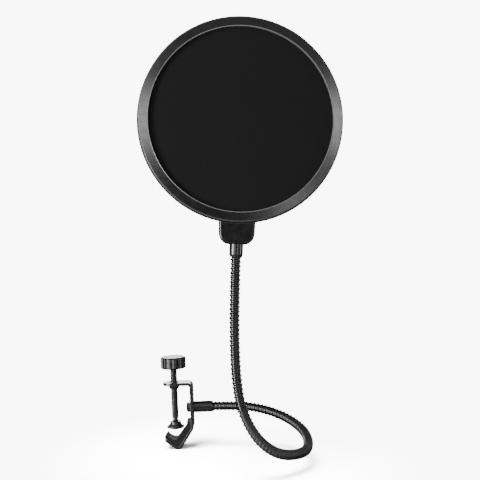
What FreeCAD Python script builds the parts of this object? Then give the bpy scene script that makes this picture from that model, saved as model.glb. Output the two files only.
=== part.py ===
"""Clamp-on pop filter: a double-mesh hoop on a wound gooseneck with a screw clamp.

Millimetres, +Z up. The origin is the bottom of the clamp's V jaw, on the clamp screw's axis.
The mesh's front faces -Y, and the gooseneck leaves the clamp along +X.
"""
import FreeCAD, Part
import math
import os

from FreeCAD import Placement, Rotation, Vector

X = Vector(1, 0, 0)
Y = Vector(0, 1, 0)
Z = Vector(0, 0, 1)

# Hoop and mesh. Its own frame: disc axis along y with the front at -y, z up, origin at the disc's centre.
head_centre = Vector(67.3, -84.0, 263.3)
head_turn = 3.5  # about Z, degrees
head_roll = 4.3  # about Y, degrees
opening_r = 70.4  # inner edge of the lip round the mesh
lip_width = 0.8
front_edge_r = 77.4
hoop_r = 79.4  # at the parting line
hoop_half = 7.75  # from the parting line to the front or rear face
band_drop = 1.1  # how far the sloping face falls from the lip to the edge
wall = 1.6
mesh_gap = 10.0  # between the two layers
mesh_thick = 0.4
mesh_r = 76.4
tab_bottom = 94.0  # below the disc's centre
tab_width = 26.6
tab_corner_r = 8.5
tab_half = 6.2
tab_screw_at = (9.0, -84.0)  # x and z of one of the two
tab_screw_r = 1.3
tab_screw_head_r = 2.4
tab_screw_seat = 1.5  # how deep the head is sunk in the rear shell
tab_screw_length = 8.7
fit_gap = 0.05  # radial clearance of a shaft in its hole

# Threads, to their outside radius.
stud_r = 3.0
bolt_r = 2.5
screw_r = 3.0
nut_flats = 10.0
nut_high = 5.0

# Gooseneck.
neck_r = 4.2
neck_bore_r = 2.6
ball_gap = 0.3  # between a link's round end and the next link's hollow end
arc_share = 0.42  # of the shorter run on each side of a corner, taken up by its arc
neck_socket = 8.0  # how deep each end sits in its ferrule
top_run = 34.0  # the last straight, down from the neck's end

# Ferrules.
lower_ferrule_r = 4.85
lower_ferrule_length = 16.5
top_ferrule_r = 5.35
top_ferrule_length = 9.0
top_chamfer = 2.0
stud_length = 12.0

# Clamp. Its strap's outline lies in the XZ plane and is given to the outside face.
strap_thick = 2.5
strap_width = 16.0
arm_top = 49.1
arm_end_x = -1.7  # centre of the arm's round end
back_x = 16.4
back_low = 8.8
jaw_low = (3.0, -10.8)
jaw_end = (-9.6, -0.6)
arm_bend_r = 4.5
back_bend_r = 7.0
jaw_bend_r = 5.3
swivel_z = 26.5  # the bolt's axis
liner_top = 15.2
bush_top_r = 5.0
bush_low_r = 3.9
bush_high = 3.4
bush_shank_r = 4.2
bolt_head_flats = 8.0
bolt_head_high = 3.5
washer_r = 4.6
washer_thick = 0.6

# Pressure pad, at the closed end of its travel.
pad_low = 8.4
pad_r = 7.6
pad_face_r = 5.4
boot_high = 2.2
collar_top = 14.6
collar_r = 4.7
ball_r = 2.4
ball_z = 12.6
neck_screw_r = 2.4  # the plain end of the clamp screw
thread_low = 18.0

# Knob.
knob_low = 61.3
knob_high = 10.0
knob_r = 11.0
flutes = 12
flute_r = 1.1
screw_top = 68.5


def face(points):
    """A face inside a closed run of straight lines."""
    return Part.Face(Part.makePolygon(points + points[:1]))


def turned(profile):
    """A solid of revolution about Z from (radius, height) points."""
    return face([Vector(r, 0, h) for r, h in profile]).revolve(Vector(), Z, 360)


def turned_along(profile, base, direction):
    """The same, standing on base with its axis along direction."""
    solid = turned(profile)
    solid.Placement = Placement(base, Rotation(Z, direction))
    return solid


def tube(outer_r, inner_r, base, length, direction):
    outer = Part.makeCylinder(outer_r, length, base, direction)
    return outer.cut(Part.makeCylinder(inner_r, length, base, direction))


def hexagon(flats, base, length, direction, flat_up=Z):
    """A hexagonal bar with two of its flats across flat_up."""
    corner_r = flats / math.sqrt(3)
    side = direction.cross(flat_up)
    corners = []
    for i in range(6):
        angle = math.radians(60 * i)
        corners.append(base + side * corner_r * math.cos(angle) + flat_up * corner_r * math.sin(angle))
    return face(corners).extrude(direction * length)


def save(name, *solids):
    shape = solids[0] if len(solids) == 1 else Part.makeCompound(list(solids))
    for solid in shape.Solids:
        assert solid.isValid(), name
    print(name, len(shape.Solids), "solids", round(shape.Volume, 1), "mm3")
    shape.exportStep("parts/" + name + ".step")


# ---- head: hoop, mesh, tab and top ferrule ----

head_place = Placement(head_centre, Rotation(Z, head_turn).multiply(Rotation(Y, head_roll)))
head_up = head_place.Rotation.multVec(Z)
neck_top = head_place.multVec(Vector(0, 0, -tab_bottom - top_ferrule_length - top_chamfer + neck_socket))


def in_place(shape):
    """Moves a shape from the hoop's own frame to where the hoop stands."""
    moved = shape.copy()
    moved.Placement = head_place.multiply(moved.Placement)
    return moved


def hoop_ring(profile):
    """A ring about the disc's axis from (radius, depth) points, depth 0 at the parting line."""
    return face([Vector(r, depth, 0) for r, depth in profile]).revolve(Vector(), Y, 360)


def shell_profile(side):
    """One hoop shell in section. side is -1 for the front and 1 for the rear."""
    mesh_face = mesh_gap / 2 + mesh_thick
    points = [
        (opening_r, mesh_face),
        (opening_r, hoop_half - 0.3),
        (opening_r + 0.3, hoop_half),
        (opening_r + lip_width, hoop_half - 0.2),
        (front_edge_r, hoop_half - band_drop),
        (front_edge_r + 0.9, hoop_half - band_drop - 0.8),
        (hoop_r, 0),
        (hoop_r - wall, 0),
        (hoop_r - wall - 0.4, mesh_face),
    ]
    return [(r, side * depth) for r, depth in points]


def tab_block(depth_from, depth_to):
    """The tab's outline, round at both lower corners, from the hoop's wall down."""
    half = tab_width / 2
    top = -(hoop_r - wall - 1.5)
    low = -tab_bottom
    r = tab_corner_r
    diagonal = r * (1 - math.sqrt(0.5))
    taper = 0.8
    left = -half + taper
    right = half - taper
    y = depth_from
    edges = [
        Part.LineSegment(Vector(-half, y, top), Vector(left, y, low + r)).toShape(),
        Part.Arc(
            Vector(left, y, low + r),
            Vector(left + diagonal, y, low + diagonal),
            Vector(left + r, y, low),
        ).toShape(),
        Part.LineSegment(Vector(left + r, y, low), Vector(right - r, y, low)).toShape(),
        Part.Arc(
            Vector(right - r, y, low),
            Vector(right - diagonal, y, low + diagonal),
            Vector(right, y, low + r),
        ).toShape(),
        Part.LineSegment(Vector(right, y, low + r), Vector(half, y, top)).toShape(),
        Part.LineSegment(Vector(half, y, top), Vector(-half, y, top)).toShape(),
    ]
    return Part.Face(Part.Wire(edges)).extrude(Y * (depth_to - depth_from))


def inside_hoop():
    """The space the hoop's walls enclose, which the tab mustn't enter."""
    half = hoop_half + 1
    return Part.makeCylinder(hoop_r - wall - 0.2, 2 * half, Vector(0, -half, 0), Y)


def stud_channel():
    low = Vector(0, 0, -tab_bottom - 1)
    return Part.makeCylinder(stud_r + fit_gap, stud_length + 2, low, Z)


def nut_pocket():
    low = Vector(0, 0, -tab_bottom + 4)
    return hexagon(nut_flats + 0.1, low, nut_high + 0.1, Z, Y)


def tab_screw_places():
    x, z = tab_screw_at
    return [Vector(-x, 0, z), Vector(x, 0, z)]


def hoop_shell(side):
    """The front or rear shell: a ring of the hoop with half of the tab."""
    ring = hoop_ring(shell_profile(side))
    tab = tab_block(side * tab_half, 0) if side < 0 else tab_block(0, tab_half)
    shell = ring.fuse(tab.cut(inside_hoop()))
    for tool in (stud_channel(), nut_pocket()):
        shell = shell.cut(tool)
    for place in tab_screw_places():
        seat = place + Y * (tab_half - tab_screw_seat)
        shell = shell.cut(Part.makeCylinder(tab_screw_r + fit_gap, tab_screw_length + 0.3, seat, -Y))
        if side > 0:
            shell = shell.cut(Part.makeCylinder(tab_screw_head_r + 0.2, tab_screw_seat + 1, seat, Y))
    return shell.removeSplitter()


def mesh_disc(side):
    near = mesh_gap / 2 if side > 0 else -mesh_gap / 2 - mesh_thick
    return Part.makeCylinder(mesh_r, mesh_thick, Vector(0, near, 0), Y)


def spacer_hoop():
    """The hoop that holds the two mesh layers apart and tight, a channel open towards the centre."""
    half = mesh_gap / 2
    profile = [
        (mesh_r - 3.0, -half),
        (mesh_r, -half),
        (mesh_r, half),
        (mesh_r - 3.0, half),
        (mesh_r - 3.0, half - 1.2),
        (mesh_r - 1.4, half - 1.2),
        (mesh_r - 1.4, -half + 1.2),
        (mesh_r - 3.0, -half + 1.2),
    ]
    return hoop_ring(profile)


def tab_screw(place):
    seat = place + Y * (tab_half - tab_screw_seat)
    head = Part.makeCylinder(tab_screw_head_r, tab_screw_seat - 0.1, seat, Y)
    shank = Part.makeCylinder(tab_screw_r, tab_screw_length, seat, -Y)
    across = tab_screw_head_r * 1.4
    cross = Part.makeBox(across, 1.0, 0.6, seat + Vector(-across / 2, 0.7, -0.3))
    other = Part.makeBox(0.6, 1.0, across, seat + Vector(-0.3, 0.7, -across / 2))
    return head.fuse(shank).cut(cross).cut(other)


def tab_nut():
    low = Vector(0, 0, -tab_bottom + 4.05)
    nut = hexagon(nut_flats, low, nut_high, Z, Y)
    return nut.cut(Part.makeCylinder(stud_r + fit_gap, nut_high + 2, low - Z, Z))


def top_ferrule():
    """A turned sleeve round the neck's end, with a threaded stud that goes up into the tab."""
    foot = -tab_bottom - top_ferrule_length - top_chamfer
    profile = [
        (neck_r + fit_gap, foot),
        (top_ferrule_r - 0.7, foot),
        (top_ferrule_r, foot + top_chamfer),
        (top_ferrule_r, -tab_bottom - 0.3),
        (top_ferrule_r - 0.3, -tab_bottom),
        (stud_r, -tab_bottom),
        (stud_r, -tab_bottom + stud_length - 0.5),
        (stud_r - 0.5, -tab_bottom + stud_length),
        (0, -tab_bottom + stud_length),
        (0, foot + neck_socket),
        (neck_r + fit_gap, foot + neck_socket),
    ]
    return turned(profile)


# ---- gooseneck: rigid links with a round end in the next one's hollow end ----

neck_start = Vector(back_x + washer_thick + lower_ferrule_length - neck_socket, 0, swivel_z)

# The route's corners, from the lower ferrule to the hoop.
neck_route = [
    neck_start,
    Vector(54, 0, swivel_z),
    Vector(77.5, -8, 24.5),
    Vector(100, -20.5, 17.5),
    Vector(113, -39.5, 8.5),
    Vector(110.5, -65.5, 1),
    Vector(87.5, -89, 5.5),
    Vector(69.5, -101, 22),
    Vector(58.5, -101.5, 46),
    Vector(56, -97, 71),
    Vector(56, -91, 99),
    neck_top - head_up * top_run,
    neck_top,
]


def link_ends(corner):
    """Where the link round this corner starts and ends: halfway along the runs beside it."""
    before, here, after = neck_route[corner - 1 : corner + 2]
    start = before if corner == 1 else (before + here) * 0.5
    end = after if corner == len(neck_route) - 2 else (here + after) * 0.5
    return start, end


def link_path(corner):
    """A straight, a tangent arc and a straight, as one wire."""
    before, here, after = neck_route[corner - 1 : corner + 2]
    start, end = link_ends(corner)
    reach = arc_share * min((here - before).Length, (after - here).Length)
    into = (here - before).normalize()
    out_of = (after - here).normalize()
    turn = into.getAngle(out_of)
    radius = reach / math.tan(turn / 2)
    arc_start = here - into * reach
    arc_end = here + out_of * reach
    to_centre = (out_of - into).normalize()
    middle = here + to_centre * (radius / math.cos(turn / 2) - radius)
    edges = [
        Part.LineSegment(start, arc_start).toShape(),
        Part.Arc(arc_start, middle, arc_end).toShape(),
        Part.LineSegment(arc_end, end).toShape(),
    ]
    print("neck corner", corner, "turns", round(math.degrees(turn)), "radius", round(radius))
    return Part.Wire(edges)


def swept(path, radius, start, direction):
    section = Part.Wire([Part.makeCircle(radius, start, direction)])
    return path.makePipeShell([section], True, False)


def neck_link(corner):
    """One stretch of the neck: a bent tube, a half ball on its far end and a hollow in its near end."""
    start, end = link_ends(corner)
    into = (neck_route[corner] - neck_route[corner - 1]).normalize()
    out_of = (neck_route[corner + 1] - neck_route[corner]).normalize()
    path = link_path(corner)
    link = swept(path, neck_r, start, into)
    if corner < len(neck_route) - 2:
        link = link.fuse(Part.makeSphere(neck_r, end, out_of, 0, 90, 360))
        bore_end = Part.makeCylinder(neck_bore_r, neck_r + 1, end, out_of)
        link = link.cut(bore_end)
    if corner > 1:
        link = link.cut(Part.makeSphere(neck_r + ball_gap, start))
    return link.cut(swept(path, neck_bore_r, start, into))


# ---- clamp ----


def rounded(points, radii):
    """Lines joined by tangent arcs, one radius for each point between the ends."""
    edges = []
    place = points[0]
    for i, radius in enumerate(radii, start=1):
        into = (points[i] - points[i - 1]).normalize()
        out_of = (points[i + 1] - points[i]).normalize()
        half_turn = into.getAngle(out_of) / 2
        reach = radius * math.tan(half_turn)
        to_centre = (out_of - into).normalize()
        middle = points[i] + to_centre * (radius / math.cos(half_turn) - radius)
        arc_start = points[i] - into * reach
        arc_end = points[i] + out_of * reach
        edges.append(Part.LineSegment(place, arc_start).toShape())
        edges.append(Part.Arc(arc_start, middle, arc_end).toShape())
        place = arc_end
    edges.append(Part.LineSegment(place, points[-1]).toShape())
    return edges


def set_in(points, depth):
    """The corners of a line that runs depth to the right of this one, which turns right at every corner."""
    moved = []
    for i, point in enumerate(points):
        into = (point - points[i - 1]).normalize() if i else None
        out_of = (points[i + 1] - point).normalize() if i < len(points) - 1 else None
        if into is None or out_of is None:
            moved.append(point + Y.cross(into or out_of) * depth)
        else:
            half_turn = into.getAngle(out_of) / 2
            moved.append(point + (out_of - into).normalize() * (depth / math.cos(half_turn)))
    return moved


strap_corners = [
    Vector(arm_end_x, 0, arm_top),
    Vector(back_x, 0, arm_top),
    Vector(back_x, 0, back_low),
    Vector(jaw_low[0], 0, jaw_low[1]),
    Vector(jaw_end[0], 0, jaw_end[1]),
]
strap_radii = [arm_bend_r, back_bend_r, jaw_bend_r]
half_width = Y * (strap_width / 2)


def strap_blank():
    """The clamp's strap before its holes are drilled."""
    inner_corners = set_in(strap_corners, strap_thick)
    outside = rounded(strap_corners, strap_radii)
    inside = rounded(inner_corners, [r - strap_thick for r in strap_radii])
    first_end = Part.LineSegment(strap_corners[0], inner_corners[0]).toShape()
    last_end = Part.LineSegment(strap_corners[-1], inner_corners[-1]).toShape()
    outline = Part.Wire(Part.__sortEdges__(outside + inside + [first_end, last_end]))
    outline.translate(-half_width)
    strap = Part.Face(outline).extrude(half_width * 2)
    arm_low = Vector(arm_end_x, 0, arm_top - strap_thick)
    return strap.fuse(Part.makeCylinder(strap_width / 2, strap_thick, arm_low, Z)).removeSplitter()


def clamp_strap():
    strap = strap_blank()
    bush_hole = Part.makeCylinder(bush_shank_r, strap_thick + 2, Vector(0, 0, arm_top - strap_thick - 1), Z)
    bolt_hole = Part.makeCylinder(bolt_r + fit_gap, strap_thick + 2, Vector(back_x - strap_thick - 1, 0, swivel_z), X)
    return strap.cut(bush_hole).cut(bolt_hole)


def screw_bush():
    """The threaded bush that is pressed up into the arm."""
    flange = arm_top - strap_thick
    bore = screw_r + fit_gap
    profile = [
        (bore, flange - bush_high),
        (bush_low_r, flange - bush_high),
        (bush_top_r, flange),
        (bush_shank_r, flange),
        (bush_shank_r, arm_top + 0.5),
        (bore, arm_top + 0.5),
    ]
    return turned(profile)


def jaw_liner():
    """The plastic liner of the V jaw, hooked over the strap's end."""
    inner = [
        Vector(10.4, 0, liner_top),
        Vector(10.4, 0, 11.2),
        Vector(1.2, 0, 0),
        Vector(-1.4, 0, 0),
        Vector(-5.9, 0, 2.2),
        Vector(-7.4, 0, 4.4),
    ]
    in_strap = set_in(strap_corners, strap_thick / 2)
    outer = [Vector(in_strap[1].x, 0, liner_top)] + in_strap[2:]
    outer_radii = [r - strap_thick / 2 for r in strap_radii[1:]]
    hook = Vector(-9.5, 0, 2.2)
    edges = rounded(inner, [2.5, 1.5, 1.5, 1.0]) + rounded(outer, outer_radii)
    for a, b in ((inner[-1], hook), (hook, outer[-1]), (outer[0], inner[0])):
        edges.append(Part.LineSegment(a, b).toShape())
    outline = Part.Wire(Part.__sortEdges__(edges))
    outline.translate(-half_width)
    return Part.Face(outline).extrude(half_width * 2).cut(strap_blank())


# ---- arm base: the bolt, washer and ferrule that turn together on the strap ----

back_in = back_x - strap_thick
ferrule_start = back_x + washer_thick


def swivel_bolt():
    """A hexagon-head bolt from inside the clamp into the lower ferrule."""
    head_start = Vector(back_in - bolt_head_high, 0, swivel_z)
    head = hexagon(bolt_head_flats, head_start, bolt_head_high, X)
    rounding = turned_along(
        [(0, 0), (3.7, 0), (4.7, 0.6), (4.7, bolt_head_high), (0, bolt_head_high)], head_start, X
    )
    shank = Part.makeCylinder(bolt_r, ferrule_start + 6.5 - back_in, Vector(back_in, 0, swivel_z), X)
    return head.common(rounding).fuse(shank)


def swivel_washer():
    return tube(washer_r, bolt_r + fit_gap, Vector(back_x, 0, swivel_z), washer_thick, X)


def lower_ferrule():
    """A turned sleeve, threaded for the bolt at one end and holding the neck in the other."""
    thread_end = 7.5
    length = lower_ferrule_length
    socket_start = length - neck_socket
    r = lower_ferrule_r
    profile = [
        (bolt_r + fit_gap, 0),
        (r, 0),
        (r, length - 1.2),
        (r - 0.5, length),
        (neck_r + fit_gap, length),
        (neck_r + fit_gap, socket_start),
        (1.5, socket_start),
        (1.5, thread_end),
        (bolt_r + fit_gap, thread_end),
    ]
    ferrule = turned_along(profile, Vector(ferrule_start, 0, swivel_z), X)
    for along in (7.2, 9.8):
        ferrule = ferrule.cut(Part.makeSphere(0.75, Vector(ferrule_start + along, 0, swivel_z + r + 0.3)))
    return ferrule


# ---- screw, knob and pressure pad ----


def clamp_screw():
    """The screw: a ball end in the pad, a plain neck, the thread, and a top moulded into the knob."""
    profile = [
        (neck_screw_r - 0.5, ball_z + 1.2),
        (neck_screw_r, collar_top + 0.2),
        (neck_screw_r, thread_low - 0.6),
        (screw_r, thread_low),
        (screw_r, screw_top),
        (0, screw_top),
        (0, ball_z + 1.2),
    ]
    return turned(profile).fuse(Part.makeSphere(ball_r, Vector(0, 0, ball_z)))


def knob():
    top = knob_low + knob_high
    profile = [
        (screw_r + 0.02, knob_low),
        (knob_r - 0.5, knob_low),
        (knob_r, knob_low + 0.5),
        (knob_r, top - 0.7),
        (knob_r - 0.7, top),
        (0, top),
        (0, screw_top + 0.05),
        (screw_r + 0.02, screw_top + 0.05),
    ]
    body = turned(profile)
    for i in range(flutes):
        angle = 2 * math.pi * i / flutes
        place = Vector(math.cos(angle), math.sin(angle), 0) * (knob_r + 0.35)
        body = body.cut(Part.makeCylinder(flute_r, knob_high + 2, place + Z * (knob_low - 1), Z))
    return body


def pressure_pad():
    """The moulded cup that snaps onto the screw's ball, with a flared foot."""
    foot = pad_low + 1.2
    profile = [
        (0, foot),
        (pad_r - 1.2, foot),
        (pad_r - 1.2, foot + 1.0),
        (collar_r + 0.7, collar_top - 2.6),
        (collar_r, collar_top - 2.4),
        (collar_r, collar_top - 0.3),
        (collar_r - 0.3, collar_top),
        (neck_screw_r + 0.3, collar_top),
        (neck_screw_r + 0.3, ball_z),
        (0, ball_z),
    ]
    return turned(profile).cut(Part.makeSphere(ball_r + fit_gap, Vector(0, 0, ball_z)))


def pad_boot():
    """The soft cap over the pad's foot, with a raised rim."""
    profile = [
        (0, pad_low),
        (pad_face_r, pad_low),
        (pad_r - 0.4, pad_low + 0.6),
        (pad_r, pad_low + 1.0),
        (pad_r, pad_low + boot_high),
        (pad_r - 1.2, pad_low + boot_high),
        (pad_r - 1.2, pad_low + 1.2),
        (0, pad_low + 1.2),
    ]
    return turned(profile)


def main():
    os.makedirs("parts", exist_ok=True)
    save("front_shell", in_place(hoop_shell(-1)))
    save("rear_shell", in_place(hoop_shell(1)))
    save("front_mesh", in_place(mesh_disc(-1)))
    save("rear_mesh", in_place(mesh_disc(1)))
    save("spacer_hoop", in_place(spacer_hoop()))
    save("tab_screws", *[in_place(tab_screw(place)) for place in tab_screw_places()])
    save("tab_nut", in_place(tab_nut()))
    save("top_ferrule", in_place(top_ferrule()))
    for corner in range(1, len(neck_route) - 1):
        save(f"gooseneck_{corner:02d}", neck_link(corner))
    save("lower_ferrule", lower_ferrule())
    save("swivel_bolt", swivel_bolt())
    save("swivel_washer", swivel_washer())
    save("clamp_strap", clamp_strap())
    save("screw_bush", screw_bush())
    save("jaw_liner", jaw_liner())
    save("clamp_screw", clamp_screw())
    save("knob", knob())
    save("pressure_pad", pressure_pad())
    save("pad_boot", pad_boot())


main()
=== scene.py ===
"""Clamp-on pop filter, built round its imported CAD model.

Shapes are given in millimetres in the CAD model's frame, and become metres in make_object().
The hoop's own frame has the disc's axis along y with the front at -y, and z up to the top of the hoop.
"""
import math

import bmesh
import bpy
from mathutils import Matrix, Vector

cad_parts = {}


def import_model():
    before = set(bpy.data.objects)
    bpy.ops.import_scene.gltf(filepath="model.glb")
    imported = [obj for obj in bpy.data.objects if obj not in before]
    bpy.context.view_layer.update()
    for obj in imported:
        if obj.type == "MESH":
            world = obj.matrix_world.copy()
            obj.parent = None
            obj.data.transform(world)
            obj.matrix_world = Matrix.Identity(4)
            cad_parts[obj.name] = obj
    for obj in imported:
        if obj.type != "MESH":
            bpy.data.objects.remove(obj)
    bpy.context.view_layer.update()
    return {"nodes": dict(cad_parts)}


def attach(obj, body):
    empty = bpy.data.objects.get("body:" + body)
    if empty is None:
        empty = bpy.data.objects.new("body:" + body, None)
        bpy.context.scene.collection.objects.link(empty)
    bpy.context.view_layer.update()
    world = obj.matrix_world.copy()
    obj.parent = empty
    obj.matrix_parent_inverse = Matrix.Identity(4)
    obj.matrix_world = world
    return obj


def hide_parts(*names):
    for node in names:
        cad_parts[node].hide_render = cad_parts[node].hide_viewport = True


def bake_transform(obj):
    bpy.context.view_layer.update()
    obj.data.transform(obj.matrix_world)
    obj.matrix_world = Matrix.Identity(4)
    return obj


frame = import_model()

MM = 0.001

# Hoop.
HEAD_CENTRE = Vector((67.3, -84.0, 263.3))
HEAD_TURN = math.radians(3.5)  # about Z
HEAD_TILT = math.radians(4.3)  # about the disc's own axis
HEAD = (
    Matrix.Translation(HEAD_CENTRE)
    @ Matrix.Rotation(HEAD_TURN, 4, "Z")
    @ Matrix.Rotation(HEAD_TILT, 4, "Y")
)
# Radii between which the hoop's colour carries painted highlights.
HIGHLIGHT_FROM = 70.0  # from the disc's axis
HIGHLIGHT_TO = 80.0
MESH_R = 76.4
MESH_DEPTH = 5.2  # from the hoop's middle plane to each layer
MESH_THICK = 0.3
MESH_RINGS = 26
MESH_SPOKES = 120
KNIT_WIDTH = 0.9
KNIT_HEIGHT = 1.2
TAB_HALF = 6.2  # half of the tab's thickness
TAB_SCREWS_X = (-9.0, 9.0)
TAB_SCREW_Z = -84.0

# Gooseneck.
NECK_ROUTE = [
    Vector((25.5, 0, 26.5)),
    Vector((54, 0, 26.5)),
    Vector((77.5, -8, 24.5)),
    Vector((100, -20.5, 17.5)),
    Vector((113, -39.5, 8.5)),
    Vector((110.5, -65.5, 1)),
    Vector((87.5, -89, 5.5)),
    Vector((69.5, -101, 22)),
    Vector((58.5, -101.5, 46)),
    Vector((56, -97, 71)),
    Vector((56, -91, 99)),
    HEAD @ Vector((0, 0, -131)),
    HEAD @ Vector((0, 0, -97)),
]
WIRE_PITCH = 3.45
ROUND_WIRE_R = 1.0
ROUND_WIRE_CENTRE = 3.2
CORE_R = 2.9
STATIONS_PER_TURN = 16
STEPS_PER_CORNER = 120

# Clamp.
SWIVEL_Z = 26.5
STRAP_THICK = 2.5
STRAP_HALF = 8.0
STRAP_EDGE = 0.3
STRAP_CORNER = 1.2
STRAP_OUTSIDE = [(-9.7, 49.1), (16.4, 49.1), (16.4, 8.8), (3.0, -10.8), (-9.6, -0.6)]
STRAP_RADII = [0, 4.5, 7.0, 5.3, 0]
LINER_TOP = 15.2
LINER_INSIDE = [(10.4, LINER_TOP), (10.4, 11.2), (1.2, 0), (-1.4, 0), (-5.9, 2.2), (-7.4, 4.4), (-9.5, 2.2)]
LINER_RADII = [0.4, 2.5, 1.5, 1.5, 1.0, 0.5, 0.3]

# Screw and knob.
PITCH = 1.0
THREAD_CREST = 3.0
THREAD_ROOT = 2.6
THREAD_LOW = 17.2
THREAD_HIGH = 68.4
THREAD_FADE = 0.8
THREAD_LIFT = 1.35  # widens the crest's flat
THREAD_FLANK = 3.1  # how steeply the flanks rise
KNOB_R = 11.0
FLUTES = 12
FLUTE_HALF = 1.55
FLUTE_DEPTH = 0.95
FLUTES_FROM = 6.0  # inside this radius the knob is round

# Stage. The floor is in metres.
CAMERA_PLACE = Vector((63.1, -655, 171.5))
CAMERA_LENS = 55.8
CAMERA_ROLL = math.radians(2.3)
FLOOR_PLACE = Vector((0.05, -0.02, -0.0105))
FLOOR_HALF = 0.4
FLOOR_WHOLE = 0.06  # the floor fades between these two distances from its middle
FLOOR_GONE = 0.17
WHITE = 9.0  # a radiance that the view transform shows as nearly white


# ---- outlines and meshes ----


def rounded(points, radii, steps=6, closed=False):
    """A line through 2-D points, with an arc of its own radius at each corner."""
    points = [Vector(p) for p in points]
    if not isinstance(radii, (list, tuple)):
        radii = [radii] * len(points)
    line = []
    for i, here in enumerate(points):
        if radii[i] <= 0 or (not closed and i in (0, len(points) - 1)):
            line.append(here)
            continue
        into = (here - points[i - 1]).normalized()
        out_of = (points[(i + 1) % len(points)] - here).normalized()
        turn = into.angle(out_of)
        if turn < 0.02:
            line.append(here)
            continue
        reach = radii[i] * math.tan(turn / 2)
        centre = here + (out_of - into).normalized() * (radii[i] / math.cos(turn / 2))
        first = here - into * reach - centre
        last = here + out_of * reach - centre
        for k in range(steps + 1):
            t = k / steps
            swing = first * math.sin((1 - t) * turn) + last * math.sin(t * turn)
            line.append(centre + swing / math.sin(turn))
    return line


def lathe(profile, segments=96, shape=None):
    """A surface turned about z from (radius, height) points.

    It closes on itself unless it starts and ends on the axis.
    shape(angle, radius) gives the radius of a piece that isn't round.
    """
    verts, faces, rings = [], [], []
    for r, h in profile:
        if r < 1e-6:
            rings.append([len(verts)] * segments)
            verts.append(Vector((0, 0, h)))
            continue
        rings.append(list(range(len(verts), len(verts) + segments)))
        for i in range(segments):
            angle = 2 * math.pi * i / segments
            out = shape(angle, r) if shape else r
            verts.append(Vector((out * math.cos(angle), out * math.sin(angle), h)))
    on_axis = profile[0][0] < 1e-6 and profile[-1][0] < 1e-6
    for a in range(len(rings) - (1 if on_axis else 0)):
        low, high = rings[a], rings[(a + 1) % len(rings)]
        for i in range(segments):
            j = (i + 1) % segments
            corners = [low[i], low[j], high[j], high[i]]
            faces.append(list(dict.fromkeys(corners)))
    return verts, faces


def inset(outline, depth):
    """A closed 2-D outline, counterclockwise, moved inwards."""
    moved = []
    for i, here in enumerate(outline):
        into = (here - outline[i - 1]).normalized()
        out_of = (outline[(i + 1) % len(outline)] - here).normalized()
        side = into + out_of
        if side.length < 1e-6:
            moved.append(here.copy())
            continue
        side.normalize()
        stretch = min(1 / max(side.dot(into), 0.3), 2.0)
        moved.append(here + Vector((-side.y, side.x)) * depth * stretch)
    return moved


def prism(outline, rings):
    """A block between flat ends, from a closed 2-D outline and (inset, height) rings."""
    area = sum(a.cross(b) for a, b in zip(outline, outline[1:] + outline[:1]))
    if area < 0:
        outline = outline[::-1]
    verts, faces = [], []
    n = len(outline)
    for depth, height in rings:
        verts += [Vector((p.x, p.y, height)) for p in inset(outline, depth)]
    for a in range(len(rings) - 1):
        for i in range(n):
            j = (i + 1) % n
            faces.append([a * n + i, a * n + j, (a + 1) * n + j, (a + 1) * n + i])
    faces.append(list(range(n))[::-1])
    faces.append([(len(rings) - 1) * n + i for i in range(n)])
    return verts, faces


def edge_rings(low, high, radius, steps=4):
    """Rings of a block whose edges are rounded at both ends."""
    rings = []
    for k in range(steps + 1):
        angle = math.radians(90 * k / steps)
        rings.append((radius * (1 - math.sin(angle)), low + radius * (1 - math.cos(angle))))
    return rings + [(depth, low + high - height) for depth, height in reversed(rings)]


def moved(shape, matrix):
    """A shape, as vertices and faces, put somewhere else."""
    verts, faces = shape
    return [matrix @ v for v in verts], faces


def upright(x=0.0, y=0.0, z=0.0):
    return Matrix.Translation(Vector((x, y, z)))


def along_x(x, z):
    """Turns a shape's z axis to X, and puts its origin at x, z."""
    return Matrix.Translation(Vector((x, 0, z))) @ Matrix.Rotation(math.radians(90), 4, "Y")


def along_y():
    """Turns a shape's z axis to y, and leaves its x axis."""
    return Matrix.Rotation(math.radians(-90), 4, "X")


def stand_up():
    """Stands a block drawn in x and y up in X and Z."""
    return Matrix.Rotation(math.radians(90), 4, "X")


def pairs(line):
    """The profile that lathe() takes, from a line of 2-D points."""
    return [(p.x, p.y) for p in line]


def make_object(name, *shapes):
    """One object from shapes in millimetres. Its origin stays at the frame's origin."""
    mesh = bpy.data.meshes.new(name)
    verts, faces = [], []
    for shape_verts, shape_faces in shapes:
        start = len(verts)
        verts += [v * MM for v in shape_verts]
        faces += [[start + i for i in face] for face in shape_faces]
    mesh.from_pydata(verts, [], faces)
    tidy = bmesh.new()
    tidy.from_mesh(mesh)
    bmesh.ops.remove_doubles(tidy, verts=tidy.verts, dist=1e-7)
    bmesh.ops.recalc_face_normals(tidy, faces=tidy.faces)
    tidy.to_mesh(mesh)
    tidy.free()
    piece = bpy.data.objects.new(name, mesh)
    bpy.context.scene.collection.objects.link(piece)
    return piece


def combine(piece, operation, shape):
    """Adds a shape to a piece, or cuts it away."""
    tool = make_object("tool", shape)
    modifier = piece.modifiers.new("combine", "BOOLEAN")
    modifier.operation = operation
    modifier.solver = "EXACT"
    modifier.object = tool
    bpy.context.view_layer.update()
    evaluated = piece.evaluated_get(bpy.context.evaluated_depsgraph_get())
    old, piece.data = piece.data, bpy.data.meshes.new_from_object(evaluated)
    piece.modifiers.clear()
    bpy.data.meshes.remove(old)
    bpy.data.objects.remove(tool)


def finish_piece(piece, material, sharp=35, flats=True):
    """Shades a piece, and gives it its material.

    Edges that turn by more than sharp degrees stay sharp.
    """
    piece.data.shade_smooth()
    piece.data.set_sharp_from_angle(angle=math.radians(sharp))
    if flats:
        weighted = piece.modifiers.new("flat faces", "WEIGHTED_NORMAL")
        weighted.keep_sharp = True
    piece.data.materials.clear()
    piece.data.materials.append(material)


# ---- materials ----


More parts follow.
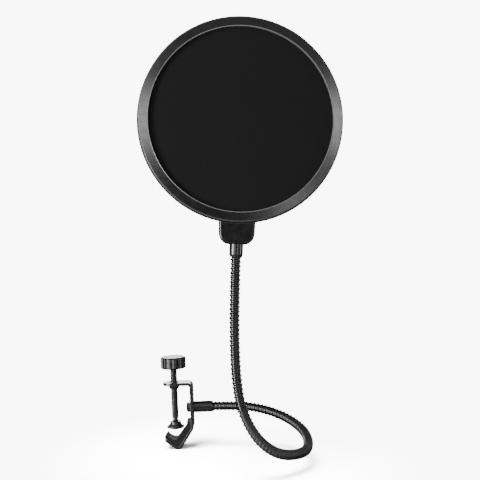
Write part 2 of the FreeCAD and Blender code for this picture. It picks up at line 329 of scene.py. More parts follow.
def grey(value):
    return (value, value, value)


def new_material(name, colour, roughness, metallic=0.0):
    material = bpy.data.materials.new(name)
    material.use_nodes = True
    shader = material.node_tree.nodes["Principled BSDF"]
    shader.inputs["Base Color"].default_value = (*colour, 1)
    shader.inputs["Roughness"].default_value = roughness
    shader.inputs["Metallic"].default_value = metallic
    return material, shader


def add_node(material, kind, **settings):
    """A new node. A setting is an input's value if an input has its name, and a property if none has."""
    node = material.node_tree.nodes.new(kind)
    for name, value in settings.items():
        if name in node.inputs:
            node.inputs[name].default_value = value
        else:
            setattr(node, name, value)
    return node


def join(material, source, target):
    material.node_tree.links.new(source, target)


def object_place(material):
    return add_node(material, "ShaderNodeTexCoord").outputs["Object"]


def set_ramp(ramp, tones):
    """Fills a colour ramp from (position, grey tone) pairs."""
    while len(ramp.elements) < len(tones):
        ramp.elements.new(0.5)
    for element, (position, tone) in zip(ramp.elements, tones):
        element.position = position
        element.color = (*grey(tone), 1)


def set_specular(material, level):
    material.node_tree.nodes["Principled BSDF"].inputs["Specular IOR Level"].default_value = level


def noise(material, place, scale, detail=3.0):
    node = add_node(material, "ShaderNodeTexNoise", Scale=scale, Detail=detail)
    join(material, place, node.inputs["Vector"])
    return node.outputs["Fac"]


def mottled(material, shader, place, dark, light, scale):
    """Colour that drifts between two shades."""
    ramp = add_node(material, "ShaderNodeValToRGB")
    ramp.color_ramp.elements[0].position = 0.35
    ramp.color_ramp.elements[0].color = (*dark, 1)
    ramp.color_ramp.elements[1].position = 0.7
    ramp.color_ramp.elements[1].color = (*light, 1)
    join(material, noise(material, place, scale), ramp.inputs["Fac"])
    join(material, ramp.outputs["Color"], shader.inputs["Base Color"])


def uneven_gloss(material, shader, place, low, high, scale):
    spread = add_node(material, "ShaderNodeMapRange")
    spread.inputs["From Min"].default_value = 0.3
    spread.inputs["From Max"].default_value = 0.7
    spread.inputs["To Min"].default_value = low
    spread.inputs["To Max"].default_value = high
    join(material, noise(material, place, scale, 5.0), spread.inputs["Value"])
    join(material, spread.outputs["Result"], shader.inputs["Roughness"])


def bumped(material, shader, height, strength, distance):
    bump = add_node(material, "ShaderNodeBump", Strength=strength, Distance=distance)
    join(material, height, bump.inputs["Height"])
    join(material, bump.outputs["Normal"], shader.inputs["Normal"])


def moulded(name, dark, light, gloss, grain_scale, grain_depth):
    """Moulded plastic: faint flow marks in its colour and gloss, and the mould's fine grain."""
    material, shader = new_material(name, light, gloss[0])
    place = object_place(material)
    mottled(material, shader, place, dark, light, 60)
    uneven_gloss(material, shader, place, gloss[0], gloss[1], 240)
    bumped(material, shader, noise(material, place, grain_scale, 2.0), 0.2, grain_depth)
    return material


def painted_edge_highlight(material, shader):
    """Paints highlights into the hoop's colour: a light line along the lip and a fainter one along its
    outer corner.

    The painted highlights go by the distance from the disc's axis.
    """
    to_centre = add_node(material, "ShaderNodeVectorMath", operation="SUBTRACT")
    join(material, object_place(material), to_centre.inputs[0])
    to_centre.inputs[1].default_value = HEAD_CENTRE * MM
    axis = HEAD.to_3x3() @ Vector((0, 1, 0))
    along = add_node(material, "ShaderNodeVectorMath", operation="PROJECT")
    join(material, to_centre.outputs["Vector"], along.inputs[0])
    along.inputs[1].default_value = axis
    outwards = add_node(material, "ShaderNodeVectorMath", operation="SUBTRACT")
    join(material, to_centre.outputs["Vector"], outwards.inputs[0])
    join(material, along.outputs["Vector"], outwards.inputs[1])
    radius = add_node(material, "ShaderNodeVectorMath", operation="LENGTH")
    join(material, outwards.outputs["Vector"], radius.inputs[0])
    spread = add_node(material, "ShaderNodeMapRange")
    spread.inputs["From Min"].default_value = HIGHLIGHT_FROM * MM
    spread.inputs["From Max"].default_value = HIGHLIGHT_TO * MM
    join(material, radius.outputs["Value"], spread.inputs["Value"])
    ramp = add_node(material, "ShaderNodeValToRGB")
    # Painted highlights: a light line at the lip, and a fainter one at the outer corner.
    lip = [(0.0, 0.0), (0.03, 0.07), (0.09, 0.07), (0.115, 0.0)]
    outer_corner = [(0.7, 0.0), (0.76, 0.03), (0.82, 0.03), (0.86, 0.0)]
    set_ramp(ramp.color_ramp, lip + outer_corner)
    join(material, spread.outputs["Result"], ramp.inputs["Fac"])
    mix = add_node(material, "ShaderNodeMix", data_type="RGBA", blend_type="ADD")
    mix.inputs["Factor"].default_value = 1.0
    first, second, result = mix.inputs[6], mix.inputs[7], mix.outputs[2]  # its colour sockets
    was = shader.inputs["Base Color"].links[0].from_socket
    join(material, was, first)
    join(material, ramp.outputs["Color"], second)
    join(material, result, shader.inputs["Base Color"])


def painted(name, dark, light, gloss, peel_scale=900, peel_depth=0.00003, coat=0.6):
    """Gloss paint on metal, with a slight orange peel and as much clear coat as coat says."""
    material, shader = new_material(name, light, gloss[0])
    place = object_place(material)
    mottled(material, shader, place, dark, light, 140)
    uneven_gloss(material, shader, place, gloss[0], gloss[1], 500)
    bumped(material, shader, noise(material, place, peel_scale, 2.0), 0.3, peel_depth)
    shader.inputs["Coat Weight"].default_value = coat
    shader.inputs["Coat Roughness"].default_value = 0.08
    return material


def blackened(name, dark, light, gloss, metallic=1.0):
    """Black-finished steel with fine turning marks."""
    material, shader = new_material(name, light, gloss[0], metallic)
    place = object_place(material)
    mottled(material, shader, place, dark, light, 300)
    uneven_gloss(material, shader, place, gloss[0], gloss[1], 900)
    bumped(material, shader, noise(material, place, 4000, 2.0), 0.25, 0.00001)
    return material


def strand_wave(material, apart, slant):
    """A wave that runs up and across the cloth, slanting to one side."""
    across = add_node(material, "ShaderNodeMath", operation="MULTIPLY")
    join(material, apart.outputs["X"], across.inputs[0])
    across.inputs[1].default_value = 2 * math.pi / (KNIT_WIDTH * MM)
    up = add_node(material, "ShaderNodeMath", operation="MULTIPLY")
    join(material, apart.outputs["Z"], up.inputs[0])
    up.inputs[1].default_value = slant * 2 * math.pi / (KNIT_HEIGHT * MM)
    both = add_node(material, "ShaderNodeMath", operation="ADD")
    join(material, across.outputs[0], both.inputs[0])
    join(material, up.outputs[0], both.inputs[1])
    wave = add_node(material, "ShaderNodeMath", operation="COSINE")
    join(material, both.outputs[0], wave.inputs[0])
    return wave.outputs[0]


def knitted(name, dark, light):
    """Fine warp-knitted nylon: rows of small holes between crossing strands."""
    material, shader = new_material(name, light, 0.75)
    turn = add_node(material, "ShaderNodeMapping")
    turn.inputs["Rotation"].default_value = (0, -HEAD_TILT, -HEAD_TURN)
    join(material, object_place(material), turn.inputs["Vector"])
    apart = add_node(material, "ShaderNodeSeparateXYZ")
    join(material, turn.outputs["Vector"], apart.inputs["Vector"])
    hole = add_node(material, "ShaderNodeMath", operation="ADD")
    join(material, strand_wave(material, apart, 1), hole.inputs[0])
    join(material, strand_wave(material, apart, -1), hole.inputs[1])
    depth = add_node(material, "ShaderNodeMapRange")
    depth.inputs["From Min"].default_value = 0.4
    depth.inputs["From Max"].default_value = 1.6
    depth.inputs["To Min"].default_value = 1.0
    depth.inputs["To Max"].default_value = 0.0
    join(material, hole.outputs[0], depth.inputs["Value"])
    ramp = add_node(material, "ShaderNodeValToRGB")
    ramp.color_ramp.elements[0].color = (*dark, 1)
    ramp.color_ramp.elements[1].color = (*light, 1)
    join(material, depth.outputs["Result"], ramp.inputs["Fac"])
    join(material, ramp.outputs["Color"], shader.inputs["Base Color"])
    bumped(material, shader, depth.outputs["Result"], 0.5, 0.00008)
    set_specular(material, 0.07)
    shader.inputs["Sheen Weight"].default_value = 0.02
    shader.inputs["Sheen Roughness"].default_value = 0.5
    return material


HOOP_PLASTIC = moulded("hoop plastic", grey(0.0005), grey(0.0012), (0.22, 0.28), 3500, 0.00001)
# Paints highlights into the hoop plastic along the lip and the outer corner.
painted_edge_highlight(HOOP_PLASTIC, HOOP_PLASTIC.node_tree.nodes["Principled BSDF"])
KNIT = knitted("knitted nylon", grey(0.0005), grey(0.003))
FASTENER = blackened("fastener steel", grey(0.08), grey(0.14), (0.28, 0.4))
FERRULE = painted("ferrule black", grey(0.004), grey(0.007), (0.2, 0.26), 900, 0.00001, 0.0)
NECK_WIRE = painted("neck wire", grey(0.001), grey(0.003), (0.14, 0.22), 1600, 0.00001, 0.0)
CLAMP_PAINT = painted("clamp paint", grey(0.003), grey(0.006), (0.24, 0.34), 900, 0.00002, 0.2)
LINER_PLASTIC = moulded("liner plastic", grey(0.002), grey(0.004), (0.6, 0.7), 2600, 0.00004)
SCREW_STEEL = painted("screw steel", grey(0.004), grey(0.008), (0.3, 0.4), 900, 0.00001, 0.0)
KNOB_PLASTIC = moulded("knob plastic", grey(0.0015), grey(0.003), (0.22, 0.3), 2600, 0.00001)
PAD_PLASTIC = moulded("pad plastic", grey(0.004), grey(0.007), (0.26, 0.34), 2600, 0.00002)
PAD_RUBBER = moulded("pad rubber", grey(0.005), grey(0.009), (0.42, 0.52), 3000, 0.00003)
set_specular(LINER_PLASTIC, 0.12)
set_specular(KNOB_PLASTIC, 0.28)


# ---- hoop, mesh, tab and top ferrule ----


def shell_section(side):
    """One shell of the hoop in section, as (radius, depth) points from the lip round to the mesh's seat."""
    corners = [
        (70.4, 5.4),
        (70.4, 7.45),
        (70.55, 7.75),
        (71.05, 7.57),
        (77.4, 6.65),
        (78.35, 5.85),
        (79.38, 0.25),
        (79.15, 0),
        (77.8, 0),
        (77.4, 5.4),
    ]
    radii = [0.05, 0.1, 0.1, 0.1, 0.25, 0.5, 0.08, 0.05, 0.05, 0.05]
    line = rounded(corners, radii, 4, True)
    return [(p.x, side * p.y) for p in line]


def tab_outline():
    """The tab in the disc's plane, from under the hoop's wall down round both lower corners."""
    line = rounded([(14.3, -76.6), (13.6, -95.6), (-13.6, -95.6), (-14.3, -76.6)], [0, 8.8, 8.8, 0], 14)
    for degrees in range(-9, 10):
        angle = math.radians(degrees)
        line.append(Vector((78.0 * math.sin(angle), -78.0 * math.cos(angle))))
    return line


def tab_block(side):
    """Half of the tab, with a rounded outer edge and a fine groove where the halves meet."""
    rings = [(1.75, -TAB_HALF), (1.25, -TAB_HALF + 0.15), (0.8, -TAB_HALF + 0.5), (0.5, -TAB_HALF + 1.1)]
    rings += [(0.05, -0.5), (0.12, -0.12), (0.3, 0)]
    verts, faces = prism(tab_outline(), rings)
    # The prism's height becomes the depth along the disc's axis.
    return [Vector((v.x, -side * v.z, v.y)) for v in verts], faces


def hoop_shell(name, side):
    """A shell of the hoop with its half of the tab."""
    ring = lathe(shell_section(side), 288)
    piece = make_object(f"{name}_shell_moulded", moved(ring, HEAD @ along_y()))
    combine(piece, "UNION", moved(tab_block(side), HEAD))
    # Room for the top ferrule's stud.
    channel = lathe([(0, -96), (3.05, -96), (3.05, -81.5), (0, -81.5)], 48)
    combine(piece, "DIFFERENCE", moved(channel, HEAD))
    # Seats for the screws' heads, in the rear half only.
    if side > 0:
        for x in TAB_SCREWS_X:
            seat = lathe([(0, 4.7), (2.6, 4.7), (2.6, 7), (0, 7)], 40)
            place = HEAD @ upright(x, 0, TAB_SCREW_Z) @ along_y()
            combine(piece, "DIFFERENCE", moved(seat, place))
    finish_piece(piece, HOOP_PLASTIC, 30)
    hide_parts(f"{name}_shell")
    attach(piece, "head")


def mesh_layer(name, side):
    """A disc of knitted mesh, stretched flat."""
    verts = [Vector((0, side * MESH_DEPTH, 0))]
    faces = []
    for a in range(1, MESH_RINGS + 1):
        r = MESH_R * a / MESH_RINGS
        for i in range(MESH_SPOKES):
            angle = 2 * math.pi * i / MESH_SPOKES
            verts.append(Vector((r * math.cos(angle), side * MESH_DEPTH, r * math.sin(angle))))
    for i in range(MESH_SPOKES):
        j = (i + 1) % MESH_SPOKES
        faces.append([0, 1 + i, 1 + j])
        for a in range(MESH_RINGS - 1):
            near, far = 1 + a * MESH_SPOKES, 1 + (a + 1) * MESH_SPOKES
            faces.append([near + i, far + i, far + j, near + j])
    piece = make_object(f"{name}_mesh_knit", moved((verts, faces), HEAD))
    thick = piece.modifiers.new("thickness", "SOLIDIFY")
    thick.thickness = MESH_THICK * MM
    thick.offset = 0
    finish_piece(piece, KNIT, 35, False)
    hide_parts(f"{name}_mesh")
    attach(piece, "head")


def tab_screw(number, x):
    """A cross-recess screw that closes the tab from the rear."""
    corners = [(0, 6.05), (1.6, 6.05), (2.4, 5.3), (2.4, 4.72), (1.3, 4.72), (1.3, -4), (0, -4)]
    line = rounded(corners, [0, 0.8, 0.25, 0, 0, 0, 0], 5)
    place = HEAD @ upright(x, 0, TAB_SCREW_Z) @ along_y()
    piece = make_object(f"tab_screw_{number}", moved(lathe(pairs(line), 48), place))
    corner = [(1.5, -0.3), (1.5, 0.3), (0.3, 0.3)]
    quarters = [Matrix.Rotation(math.radians(90 * k + 45), 2) for k in range(4)]
    cross = [quarter @ Vector(p) for quarter in quarters for p in corner]
    combine(piece, "DIFFERENCE", moved(prism(cross, [(0, 5.1), (0, 6.6)]), place))
    finish_piece(piece, FASTENER)
    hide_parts("tab_screws")
    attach(piece, "head")


def top_ferrule():
    """The sleeve under the tab, with the stud that goes up into the tab."""
    corners = [
        (4.25, -105),
        (4.65, -105),
        (5.35, -103),
        (5.35, -94.1),
        (3.0, -94.1),
        (3.0, -82.5),
        (2.5, -82),
        (0, -82),
        (0, -97),
        (4.25, -97),
    ]
    line = rounded(corners, [0.1, 0.12, 0.3, 0.25, 0.1, 0, 0, 0, 0, 0], 4)
    profile = pairs(line)
    piece = make_object("top_ferrule_sleeve", moved(lathe(profile, 96), HEAD))
    finish_piece(piece, FERRULE)
    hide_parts("top_ferrule")
    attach(piece, "head")


# ---- gooseneck: a round spring wire with a wedge wire wound between its turns ----


def neck_curve():
    """Points along the neck's middle, each with the corner it goes round and how far round it is."""
    line = []
    last = len(NECK_ROUTE) - 2
    for corner in range(1, last + 1):
        before, here, after = NECK_ROUTE[corner - 1 : corner + 2]
        start = before if corner == 1 else (before + here) / 2
        end = after if corner == last else (here + after) / 2
        for k in range(STEPS_PER_CORNER + (1 if corner == last else 0)):
            t = k / STEPS_PER_CORNER
            point = start * (1 - t) ** 2 + here * 2 * t * (1 - t) + end * t**2
            line.append((point, corner + t))
    return line


def neck_stations():
    """Evenly spaced places along the neck: point, two cross directions, and place by corner."""
    line = neck_curve()
    step = WIRE_PITCH / STATIONS_PER_TURN
    evenly, walked = [line[0]], 0.0
    for (a, place_a), (b, place_b) in zip(line, line[1:]):
        run = (b - a).length
        while walked + run >= step * len(evenly):
            share = (step * len(evenly) - walked) / run
            evenly.append((a.lerp(b, share), place_a + (place_b - place_a) * share))
        walked += run
    stations = []
    side = Vector((0, 0, 1))
    for i, (point, place) in enumerate(evenly):
        tangent = (evenly[min(i + 1, len(evenly) - 1)][0] - evenly[max(i - 1, 0)][0]).normalized()
        side = (side - tangent * side.dot(tangent)).normalized()
        stations.append((point, side.copy(), tangent.cross(side), tangent, place))
    return stations


def wire(stations, first, last, section, phase):
    """A wire wound round the neck between two stations. section is (along, radius) points."""
    verts, faces = [], []
    n = len(section)
    for i in range(first, last + 1):
        point, side, other, tangent, _ = stations[i]
        angle = 2 * math.pi * (i / STATIONS_PER_TURN + phase)
        out = side * math.cos(angle) + other * math.sin(angle)
        verts += [point + out * r + tangent * along for along, r in section]
    for a in range(last - first):
        for k in range(n):
            m = (k + 1) % n
            faces.append([a * n + k, a * n + m, (a + 1) * n + m, (a + 1) * n + k])
    faces.append(list(range(n)))
    faces.append([(last - first) * n + k for k in range(n)][::-1])
    return verts, faces


def core(stations, first, last):
    """The dark inside of the winding, which closes the view between its turns."""
    verts, faces = [], []
    around = 24
    for point, side, other, _, _ in stations[first : last + 1 : 4] + [stations[last]]:
        for k in range(around):
            angle = 2 * math.pi * k / around
            verts.append(point + (side * math.cos(angle) + other * math.sin(angle)) * CORE_R)
    rows = len(verts) // around
    for a in range(rows - 1):
        for k in range(around):
            m = (k + 1) % around
            faces.append([a * around + k, a * around + m, (a + 1) * around + m, (a + 1) * around + k])
    faces.append(list(range(around))[::-1])
    faces.append([(rows - 1) * around + k for k in range(around)])
    return verts, faces


def wire_sections():
    """The round wire and the three-sided wire in section, as (along, radius) points."""
    round_wire = []
    for k in range(10):
        angle = 2 * math.pi * k / 10
        out = ROUND_WIRE_CENTRE + ROUND_WIRE_R * math.cos(angle)
        round_wire.append((ROUND_WIRE_R * math.sin(angle), out))
    wedge = [(-0.72, 3.2), (-0.5, 3.45), (-0.2, 3.56), (0.2, 3.56), (0.5, 3.45), (0.72, 3.2), (0, 2.6)]
    return round_wire, wedge


def sleeve_ends(stations, joints):
    """The stations where the neck's sleeves start and stop: its two ends, and the middle of each corner."""
    ends = [0]
    for corner in range(1, joints + 2):
        ends.append(max(i for i, station in enumerate(stations) if station[4] <= corner + 0.5))
    return ends + [len(stations) - 1]


def gooseneck():
    """One sleeve of both wires for each joint, from the middle of one corner to the middle of the next.

    The first and last sleeves are the neck's ends, which don't bend.
    """
    stations = neck_stations()
    round_wire, wedge = wire_sections()
    bodies = ["arm_base"] + [f"neck_{i:02d}" for i in range(2, 11)] + ["head"]
    joints = len(bodies) - 1
    ends = sleeve_ends(stations, joints)
    for part, (first, last) in enumerate(zip(ends, ends[1:])):
        shapes = [wire(stations, first, last, round_wire, 0), wire(stations, first, last, wedge, 0.5)]
        shapes.append(core(stations, first, last))
        piece = make_object(f"neck_winding_{part + 1:02d}", *shapes)
        finish_piece(piece, NECK_WIRE, 50, False)
        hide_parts(f"gooseneck_{min(part + 1, joints + 1):02d}")
        if part == 0:
            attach(piece, "arm_base")
        elif part == joints + 1:
            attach(piece, "head")
        else:
            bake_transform(piece)


# ---- clamp ----


def lower_ferrule():
    """The sleeve behind the clamp, with two crimp marks on its top."""
    corners = [(2.55, 0), (4.85, 0), (4.85, 15.3), (4.35, 16.5), (4.25, 16.5)]
    corners += [(4.25, 8.5), (1.5, 8.5), (1.5, 7.5), (2.55, 7.5)]
    line = rounded(corners, [0, 0.25, 0.3, 0.04, 0, 0, 0, 0, 0], 4)
    sleeve = lathe(pairs(line), 96)
    piece = make_object("lower_ferrule_sleeve", moved(sleeve, along_x(17.0, SWIVEL_Z)))
    # Each mark is a ball sunk half a millimetre into the sleeve.
    for x in (24.2, 26.8):
        turns = [math.radians(a) for a in range(0, 181, 15)]
        dimple = [(0.8 * math.sin(a), -0.8 * math.cos(a)) for a in turns]
        dimple[0], dimple[-1] = (0, -0.8), (0, 0.8)
        combine(piece, "DIFFERENCE", moved(lathe(dimple, 24), upright(x, 0, SWIVEL_Z + 5.15)))
    finish_piece(piece, FERRULE)
    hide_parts("lower_ferrule")
    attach(piece, "arm_base")


def hexagonal(flats):
    """The shape of a hexagon head, from its width across flats."""

    def shape(angle, radius):
        off = (angle + math.pi / 6) % (math.pi / 3) - math.pi / 6
        return min(radius, flats / 2 / math.cos(off))

    return shape


def swivel_bolt():
    """The hexagon bolt that the arm swivels on, from inside the strap into the lower ferrule."""
    line = rounded([(0, 0), (3.6, 0), (4.7, 0.65), (4.7, 3.45), (0, 3.45)], [0, 0.2, 0, 0.05, 0], 3)
    head = lathe(pairs(line), 96, hexagonal(8.0))
    shank = lathe([(0, 3.4), (2.4, 3.4), (2.4, 13.1), (0, 13.1)], 48)
    place = along_x(10.4, SWIVEL_Z)
    piece = make_object("swivel_bolt_hex", moved(head, place), moved(shank, place))
    finish_piece(piece, CLAMP_PAINT)
    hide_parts("swivel_bolt")
    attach(piece, "arm_base")


def swivel_washer():
    line = rounded([(2.6, 0), (4.6, 0), (4.6, 0.6), (2.6, 0.6)], 0.12, 3, True)
    ring = lathe(pairs(line), 72)
    piece = make_object("swivel_washer_ring", moved(ring, along_x(16.4, SWIVEL_Z)))
    finish_piece(piece, FASTENER)
    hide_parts("swivel_washer")
    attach(piece, "arm_base")


def strap_line():
    """The strap's outside line as (length along, point, inward direction)."""
    line = rounded(STRAP_OUTSIDE, STRAP_RADII, 14)
    marked, walked = [], 0.0
    for i, point in enumerate(line):
        if i:
            walked += (point - line[i - 1]).length
        ahead = (line[min(i + 1, len(line) - 1)] - line[max(i - 1, 0)]).normalized()
        marked.append((walked, point, Vector((ahead.y, -ahead.x))))
    return marked


def on_strap(marked, along):
    """The point and inward direction at a length along the strap's outside line."""
    for (s0, p0, n0), (s1, p1, n1) in zip(marked, marked[1:]):
        if along <= s1:
            share = (along - s0) / (s1 - s0)
            return p0.lerp(p1, share), n0.lerp(n1, share).normalized()
    return marked[-1][1], marked[-1][2]


def strap_plan(marked, depth):
    """Half of the strap's outline laid flat and moved in by depth, as (length along, half width) points."""
    length = marked[-1][0]
    plan = []
    for k in range(13):
        angle = math.radians(90 * k / 12)
        r = STRAP_HALF - depth
        plan.append((STRAP_HALF - r * math.cos(angle), r * math.sin(angle)))
    plan += [(s, STRAP_HALF - depth) for s, _, _ in marked if STRAP_HALF < s < length - STRAP_CORNER]
    for k in range(6):
        angle = math.radians(90 * k / 5)
        r = STRAP_CORNER - depth
        half = STRAP_HALF - STRAP_CORNER + r * math.cos(angle)
        plan.append((length - STRAP_CORNER + r * math.sin(angle), half))
    return plan


def clamp_strap():
    """A flat strap with one round end and softened edges, bent to the clamp's outline."""
    marked = strap_line()
    verts, faces = [], []
    rows = []
    for depth, height in edge_rings(0, STRAP_THICK, STRAP_EDGE, 4):
        row = []
        for s, half in strap_plan(marked, depth):
            point, inward = on_strap(marked, s)
            base = point + inward * height
            row.append((len(verts), len(verts) + 1))
            verts.append(Vector((base.x, -half, base.y)))
            verts.append(Vector((base.x, half, base.y)))
        rows.append(row)
    for low, high in zip(rows, rows[1:]):
        for i in range(len(low) - 1):
            for side in (0, 1):
                faces.append([low[i][side], low[i + 1][side], high[i + 1][side], high[i][side]])
        faces.append([low[-1][0], low[-1][1], high[-1][1], high[-1][0]])
    for row in (rows[0], rows[-1]):
        for a, b in zip(row, row[1:]):
            faces.append([a[0], a[1], b[1], b[0]])
    piece = make_object("clamp_strap_bent", (verts, faces))
    bush_hole = lathe([(0, 44), (4.2, 44), (4.2, 52), (0, 52)], 64)
    combine(piece, "DIFFERENCE", bush_hole)
    bolt_hole = lathe([(0, -2), (2.55, -2), (2.55, 6), (0, 6)], 48)
    combine(piece, "DIFFERENCE", moved(bolt_hole, along_x(13, SWIVEL_Z)))
    finish_piece(piece, CLAMP_PAINT)
    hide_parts("clamp_strap")
    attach(piece, "clamp")


def screw_bush():
    """The threaded bush, whose cone hangs under the strap's arm."""
    corners = [(3.1, 43.2), (3.9, 43.2), (5.0, 46.6), (4.2, 46.6), (4.2, 49.6), (3.1, 49.6)]
    line = rounded(corners, [0.15, 0.4, 0.1, 0, 0.25, 0.15], 4, True)
    piece = make_object("screw_bush_flanged", lathe(pairs(line), 80))
    finish_piece(piece, CLAMP_PAINT)
    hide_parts("screw_bush")
    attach(piece, "clamp")


def strap_inside():
    """The strap's inside line from its jaw end back up to the liner's top."""
    marked = strap_line()
    # The liner clears the strap by 0.02, and the strap's upright inside face stands at x = 13.9.
    line = [point + inward * (STRAP_THICK + 0.02) for _, point, inward in marked]
    low = [p for p in line if p.y < LINER_TOP and p.x < 13.93]
    return low[::-1] + [Vector((13.88, LINER_TOP))]


def jaw_liner():
    """The moulded lining of the V jaw, from the strap's inside face in."""
    inside = rounded(LINER_INSIDE, LINER_RADII, 5)
    block = prism(inside + strap_inside(), edge_rings(-7.95, 7.95, 0.3, 3))
    piece = make_object("jaw_liner_moulded", moved(block, stand_up()))
    finish_piece(piece, LINER_PLASTIC)
    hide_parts("jaw_liner")
    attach(piece, "clamp")


# ---- screw, knob and pad ----


def thread():
    """A true helix of thread, which fades in at its lower end."""
    per_turn, around = 10, 40
    rows = int((THREAD_HIGH - THREAD_LOW) / PITCH * per_turn)
    verts, faces = [], []
    for a in range(rows + 1):
        z = THREAD_LOW + (THREAD_HIGH - THREAD_LOW) * a / rows
        fade = min(1.0, (z - THREAD_LOW) / THREAD_FADE)
        for i in range(around):
            phase = (z / PITCH - i / around) % 1.0
            rise = max(0.0, min(1.0, THREAD_LIFT - THREAD_FLANK * abs(phase - 0.5)))
            r = THREAD_ROOT + (THREAD_CREST - THREAD_ROOT) * rise * fade
            angle = 2 * math.pi * i / around
            verts.append(Vector((r * math.cos(angle), r * math.sin(angle), z)))
    for a in range(rows):
        for i in range(around):
            j = (i + 1) % around
            faces.append([a * around + i, a * around + j, (a + 1) * around + j, (a + 1) * around + i])
    faces.append(list(range(around))[::-1])
    faces.append([rows * around + i for i in range(around)])
    return verts, faces


def clamp_screw():
    """The screw: a ball end in the pad, a plain neck, and the thread up to inside the knob."""
    turns = [math.radians(a) for a in range(0, 131, 10)]
    ball = [(2.4 * math.sin(a), 12.6 - 2.4 * math.cos(a)) for a in turns]
    neck = [(0, 10.2)] + ball[1:] + [(1.9, 14.2), (2.35, 14.8), (2.35, 17.3), (0, 17.3)]
    piece = make_object("clamp_screw_threaded", thread(), lathe(neck, 48))
    finish_piece(piece, SCREW_STEEL, 40, False)
    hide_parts("clamp_screw")
    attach(piece, "screw")


def fluted(angle, radius):
    """The knob's outline: round flutes with softened edges."""
    half = math.pi / FLUTES
    off = (angle + half) % (2 * half) - half
    away = abs(off) * KNOB_R
    if radius < FLUTES_FROM or away > FLUTE_HALF:
        return radius
    share = away / FLUTE_HALF
    return radius - FLUTE_DEPTH * (0.5 + 0.5 * math.cos(math.pi * share))


def knob():
    """The fluted knob, with a shallow dished top and a socket for the screw."""
    corners = [(3.05, 61.3), (10.3, 61.3), (KNOB_R, 62.0), (KNOB_R, 70.5), (10.3, 71.3), (8.6, 71.3)]
    corners += [(7.9, 71.05), (0, 71.0), (0, 68.5), (3.05, 68.5)]
    line = rounded(corners, [0, 0.5, 0.5, 0.6, 0.4, 0.3, 0.3, 0, 0, 0], 4)
    piece = make_object("knob_fluted", lathe(pairs(line), 360, fluted))
    finish_piece(piece, KNOB_PLASTIC, 40)
    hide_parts("knob")
    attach(piece, "screw")


def pressure_pad():
    """The cup that takes the screw's ball end, with a low collar."""
    corners = [
        (0, 9.62),
        (6.3, 9.62),
        (6.3, 10.75),
        (5.5, 11.9),
        (4.75, 12.3),
        (4.7, 14.3),
        (4.4, 14.6),
        (2.75, 14.6),
        (2.75, 12.6),
        (0, 12.6),
    ]
    line = rounded(corners, [0, 0.1, 0.3, 1.2, 0.3, 0.15, 0.15, 0.2, 0, 0], 4)
    piece = make_object("pressure_pad_cup", lathe(pairs(line), 80))
    finish_piece(piece, PAD_PLASTIC)
    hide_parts("pressure_pad")
    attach(piece, "pad")


def pad_boot():
    """The soft cap under the pad, with its rim raised round the pad's edge."""
    corners = [(0, 8.4), (5.4, 8.4), (7.2, 9.0), (7.6, 9.5)]
    corners += [(7.6, 10.6), (6.35, 10.6), (6.35, 9.6), (0, 9.6)]
    line = rounded(corners, [0, 0.3, 0.4, 0.3, 0.35, 0.2, 0, 0], 4)
    piece = make_object("pad_boot_cap", lathe(pairs(line), 80))
    finish_piece(piece, PAD_RUBBER)
    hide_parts("pad_boot")
    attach(piece, "pad")


def paint_cad(node, material):
    """Gives its material to a CAD node that stays."""
    mesh = frame["nodes"][node].data
    mesh.materials.clear()
    mesh.materials.append(material)


# ---- floor, light and camera ----


def floor_material():
    """A white floor that fades out into the white surroundings away from the object."""
    material, shader = new_material("floor", grey(0.9), 0.9)
    set_specular(material, 0.0)
    place = object_place(material)
    mottled(material, shader, place, grey(0.89), grey(0.9), 30)
    away = add_node(material, "ShaderNodeVectorMath", operation="LENGTH")
    join(material, place, away.inputs[0])
    fade = add_node(material, "ShaderNodeMapRange", interpolation_type="SMOOTHSTEP")
    fade.inputs["From Min"].default_value = FLOOR_WHOLE
    fade.inputs["From Max"].default_value = FLOOR_GONE
    join(material, away.outputs["Value"], fade.inputs["Value"])
    clear = add_node(material, "ShaderNodeBsdfTransparent")
    mix = add_node(material, "ShaderNodeMixShader")
    join(material, fade.outputs["Result"], mix.inputs["Fac"])
    join(material, shader.outputs["BSDF"], mix.inputs[1])
    join(material, clear.outputs["BSDF"], mix.inputs[2])
    join(material, mix.outputs["Shader"], material.node_tree.nodes["Material Output"].inputs["Surface"])
    return material


def floor():
    """A plain pale floor under the clamp, square to the camera's own upright."""
    mesh = bpy.data.meshes.new("floor")
    half = FLOOR_HALF
    corners = [(-half, -half, 0), (half, -half, 0), (half, half, 0), (-half, half, 0)]
    mesh.from_pydata(corners, [], [[0, 1, 2, 3]])
    piece = bpy.data.objects.new("floor", mesh)
    bpy.context.scene.collection.objects.link(piece)
    piece.matrix_world = Matrix.Translation(FLOOR_PLACE) @ Matrix.Rotation(CAMERA_ROLL, 4, "Y")
    piece.visible_diffuse = False
    piece.visible_glossy = False
    piece.visible_shadow = False
    mesh.materials.append(floor_material())
    return piece


def area_light(name, place, target, width, height, radiance):
    """A rectangular light that looks as bright as radiance says, whatever its size."""
    light = bpy.data.lights.new(name, "AREA")
    light.shape = "RECTANGLE"
    light.size = width
    light.size_y = height
    light.energy = radiance * math.pi * width * height
    lamp = bpy.data.objects.new(name, light)
    bpy.context.scene.collection.objects.link(lamp)
    lamp.location = place
    lamp.rotation_euler = (Vector(target) - Vector(place)).to_track_quat("-Z", "Y").to_euler()
    return lamp


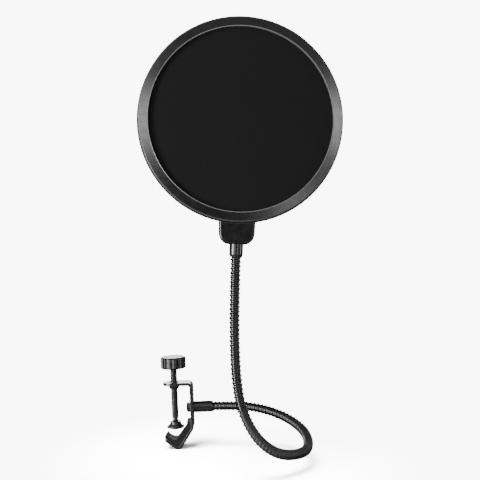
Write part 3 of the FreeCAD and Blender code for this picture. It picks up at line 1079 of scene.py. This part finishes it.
def lights(ground):
    """Soft lights all round. The floor has one of its own, which lights nothing else."""
    head = HEAD_CENTRE * MM
    middle = (0.05, -0.04, 0.12)
    lamps = [
        ("left softbox", (-0.38, -1.28, 0.48), head, 0.42, 0.3, 12.0),
        ("right softbox", (0.82, -1.22, 0.44), head, 0.42, 0.3, 12.0),
        ("low left softbox", (-0.74, -1.07, -0.15), middle, 0.32, 0.7, 14.0),
        ("low right strip", (0.52, -1.27, -0.15), middle, 0.12, 0.7, 8.0),
        ("left strip", (-1.25, -0.85, 0.25), middle, 0.4, 1.4, 46.0),
        ("right strip", (1.5, -0.35, 0.25), middle, 0.16, 1.4, 12.0),
        ("top softbox", (0.07, -0.85, 1.5), middle, 1.2, 0.5, 2.0),
        ("back panel", (0.06, 1.8, 0.5), middle, 1.0, 0.4, 9.0),
        ("back left softbox", (-1.3, 1.2, 0.7), middle, 0.6, 0.6, 3.0),
        ("back right softbox", (1.4, 1.1, 0.7), middle, 0.6, 0.6, 3.0),
    ]
    for lamp in lamps:
        area_light(*lamp)
    shade = area_light("floor light", (-0.22, -0.42, 1.2), (0.04, -0.02, 0), 0.8, 0.5, 260.0)
    only_floor = bpy.data.collections.new("floor only")
    only_floor.objects.link(ground)
    shade.light_linking.receiver_collection = only_floor


def world():
    """White to the camera.

    Everything else sees dim grey by direction: nearly black straight ahead of the mesh,
    brightest in a ring round that, and dark behind the object.
    """
    made = bpy.data.worlds.new("studio")
    bpy.context.scene.world = made
    made.use_nodes = True
    nodes, links = made.node_tree.nodes, made.node_tree.links
    dim = nodes["Background"]
    dim.inputs["Strength"].default_value = 1.0
    place = nodes.new("ShaderNodeTexCoord")
    apart = nodes.new("ShaderNodeSeparateXYZ")
    spread = nodes.new("ShaderNodeMapRange")
    spread.inputs["From Min"].default_value = -1.0
    shades = nodes.new("ShaderNodeValToRGB")
    ahead = [(0.0, 0.04), (0.012, 0.05), (0.05, 0.55), (0.13, 0.5)]
    behind = [(0.3, 0.12), (1.0, 0.1)]
    set_ramp(shades.color_ramp, ahead + behind)
    links.new(place.outputs["Generated"], apart.inputs["Vector"])
    links.new(apart.outputs["Y"], spread.inputs["Value"])
    links.new(spread.outputs["Result"], shades.inputs["Fac"])
    links.new(shades.outputs["Color"], dim.inputs["Color"])
    white = nodes.new("ShaderNodeBackground")
    white.inputs["Color"].default_value = (1, 1, 1, 1)
    white.inputs["Strength"].default_value = WHITE
    ray = nodes.new("ShaderNodeLightPath")
    mix = nodes.new("ShaderNodeMixShader")
    links.new(ray.outputs["Is Camera Ray"], mix.inputs["Fac"])
    links.new(dim.outputs["Background"], mix.inputs[1])
    links.new(white.outputs["Background"], mix.inputs[2])
    links.new(mix.outputs["Shader"], nodes["World Output"].inputs["Surface"])


def camera():
    data = bpy.data.cameras.new("camera")
    data.lens = CAMERA_LENS
    data.clip_start = 0.01
    data.clip_end = 50
    eye = bpy.data.objects.new("camera", data)
    bpy.context.scene.collection.objects.link(eye)
    right = Vector((math.cos(CAMERA_ROLL), 0, -math.sin(CAMERA_ROLL)))
    up = Vector((math.sin(CAMERA_ROLL), 0, math.cos(CAMERA_ROLL)))
    back = Vector((0, -1, 0))
    turn = Matrix((right, up, back)).transposed().to_4x4()
    eye.matrix_world = Matrix.Translation(CAMERA_PLACE * MM) @ turn
    bpy.context.scene.camera = eye


def main():
    camera()
    hoop_shell("front", -1)
    hoop_shell("rear", 1)
    mesh_layer("front", -1)
    mesh_layer("rear", 1)
    for number, x in enumerate(TAB_SCREWS_X, start=1):
        tab_screw(number, x)
    top_ferrule()
    gooseneck()
    lower_ferrule()
    swivel_bolt()
    swivel_washer()
    clamp_strap()
    screw_bush()
    jaw_liner()
    clamp_screw()
    knob()
    pressure_pad()
    pad_boot()
    paint_cad("spacer_hoop", HOOP_PLASTIC)
    paint_cad("tab_nut", FASTENER)
    ground = floor()
    lights(ground)
    world()


main()
